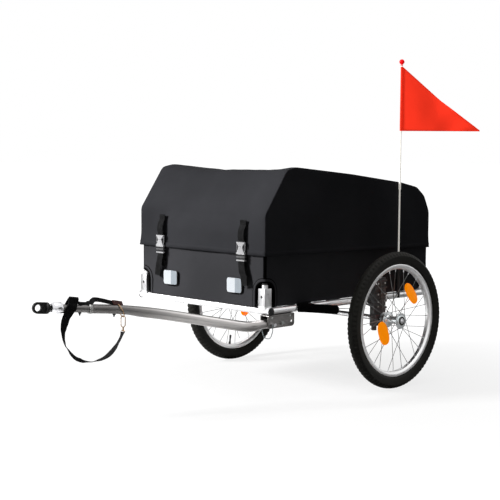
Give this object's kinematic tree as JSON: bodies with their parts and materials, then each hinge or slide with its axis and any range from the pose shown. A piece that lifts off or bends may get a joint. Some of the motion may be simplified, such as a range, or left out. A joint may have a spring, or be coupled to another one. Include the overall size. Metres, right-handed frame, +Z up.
{
  "type": "bicycle cargo trailer",
  "caption": "Two-wheeled bicycle trailer: covered fabric cargo box on a tube frame, spoked wheels, offset cranked drawbar with swivel hitch and safety strap, and a pennant on a pole.",
  "frame": {"origin": "middle of the trailer's footprint, on the ground under the wheels", "axes": "+Z up, -Y forward towards the bicycle, +X to the trailer's left"},
  "size_m": [1.0151, 1.6597, 1.2124],
  "materials": {
    "frame_tube": "satin anodised, with fine scratches along the tubes",
    "wheel_alloy": "satin, machined braking band",
    "tyre_rubber": "matt black with side tread blocks",
    "bright_steel": "polished",
    "plated_steel": "dull zinc plate",
    "brass": "polished",
    "bag_fabric": "coated woven polyester",
    "webbing": "flat woven webbing",
    "black_plastic": "moulded, fine grain",
    "pale_plastic": "satin",
    "clear_lens": "prismatic, in a black surround",
    "red_lens": "prismatic",
    "orange_lens": "prismatic",
    "pennant_cloth": "thin coated cloth",
    "floor_panel": "ribbed sheet"
  },
  "bodies": {
    "frame": {"front_cross_tube": "frame_tube", "rear_cross_tube": "frame_tube", "side_rail_left": "frame_tube", "side_rail_right": "frame_tube", "floor_tube_front": "frame_tube", "floor_tube_rear": "frame_tube", "axle_tube": "frame_tube", "upper_hoop_front": "frame_tube", "upper_hoop_rear": "frame_tube", "upper_bar_left": "frame_tube", "upper_bar_right": "frame_tube", "drawbar_rear_tube": "frame_tube", "drawbar_front_tube": "frame_tube", "axle_pin_left": "bright_steel", "axle_pin_right": "bright_steel", "lock_pin": "bright_steel", "drawbar_bracket": "plated_steel", "pivot_bolt": "plated_steel", "strap_ring": "brass", "snap_hook": "brass", "cargo_bag": "bag_fabric", "box_strap_left": "webbing", "box_strap_right": "webbing", "strap_wrap": "webbing", "safety_strap": "webbing", "wheel_carrier_left": "black_plastic", "wheel_carrier_right": "black_plastic", "buckle_lower_left": "black_plastic", "buckle_lower_right": "black_plastic", "flag_socket": "black_plastic", "drawbar_collar": "pale_plastic", "front_reflector_left": "clear_lens", "front_reflector_right": "clear_lens", "rear_reflector_left": "red_lens", "rear_reflector_right": "red_lens", "floor_board": "floor_panel"},
    "wheel_left": {"tyre_left": "tyre_rubber", "rim_left": "wheel_alloy", "hub_left": "wheel_alloy", "spoke_reflector_front_left": "orange_lens", "spoke_reflector_rear_left": "orange_lens"},
    "wheel_right": {"tyre_right": "tyre_rubber", "rim_right": "wheel_alloy", "hub_right": "wheel_alloy", "spoke_reflector_front_right": "orange_lens", "spoke_reflector_rear_right": "orange_lens"},
    "axle_button_left": {"axle_button_left": "plated_steel"},
    "axle_button_right": {"axle_button_right": "plated_steel"},
    "lid": {"lid_cover": "bag_fabric", "lid_frame": "frame_tube", "lid_strap_left": "webbing", "lid_strap_right": "webbing", "buckle_upper_left": "black_plastic", "buckle_upper_right": "black_plastic"},
    "pin_bail": {"pin_bail": "bright_steel"},
    "hitch_sleeve": {"hitch_sleeve": "bright_steel"},
    "hitch_eye": {"hitch_eye": "black_plastic"},
    "flag_pole": {"flag_pole": "pale_plastic"},
    "pennant": {"pennant": "pennant_cloth"},
    "snap_gate": {"snap_gate": "brass"}
  },
  "joints": [
    {"name": "wheel_left_spin", "type": "hinge", "parent": "frame", "child": "wheel_left", "pos_m": [0.38962, 0.49411, 0.253], "axis": [1, 0, 0], "continuous": true},
    {"name": "wheel_right_spin", "type": "hinge", "parent": "frame", "child": "wheel_right", "pos_m": [-0.46838, 0.49411, 0.253], "axis": [1, 0, 0], "continuous": true},
    {"name": "axle_button_left_press", "type": "slide", "parent": "frame", "child": "axle_button_left", "axis": [-1, 0, 0], "range_m": [0, 0.0035], "stiffness_N_per_m": 200},
    {"name": "axle_button_right_press", "type": "slide", "parent": "frame", "child": "axle_button_right", "axis": [1, 0, 0], "range_m": [0, 0.0035], "stiffness_N_per_m": 200},
    {"name": "lid_hinge", "type": "hinge", "parent": "frame", "child": "lid", "pos_m": [-0.03938, 0.81241, 0.497], "axis": [-1, 0, 0], "range_deg": [0, 110]},
    {"name": "pin_bail_swing", "type": "hinge", "parent": "frame", "child": "pin_bail", "pos_m": [0.31122, -0.05989, 0.282], "axis": [0, -1, 0], "range_deg": [0, 110]},
    {"name": "hitch_sleeve_turn", "type": "hinge", "parent": "frame", "child": "hitch_sleeve", "pos_m": [0.01106, -0.72921, 0.36945], "axis": [-0.1427, -0.9858, 0.0882], "continuous": true},
    {"name": "hitch_eye_yaw", "type": "hinge", "parent": "hitch_sleeve", "child": "hitch_eye", "pos_m": [0.00721, -0.75582, 0.37184], "axis": [0.0126, 0.0873, 0.9961], "range_deg": [-22, 22]},
    {"name": "flag_pole_lift", "type": "slide", "parent": "frame", "child": "flag_pole", "axis": [0, 0, 1], "range_m": [0, 0.09]},
    {"name": "pennant_turn", "type": "hinge", "parent": "flag_pole", "child": "pennant", "pos_m": [0.30062, 0.61911, 1.066], "axis": [0, 0, 1], "continuous": true},
    {"name": "snap_gate_open", "type": "hinge", "parent": "frame", "child": "snap_gate", "pos_m": [0.04713, -0.51433, 0.30216], "axis": [-0.9623, 0.272, 0], "range_deg": [0, 30], "stiffness_Nm_per_rad": 0.002}
  ]
}
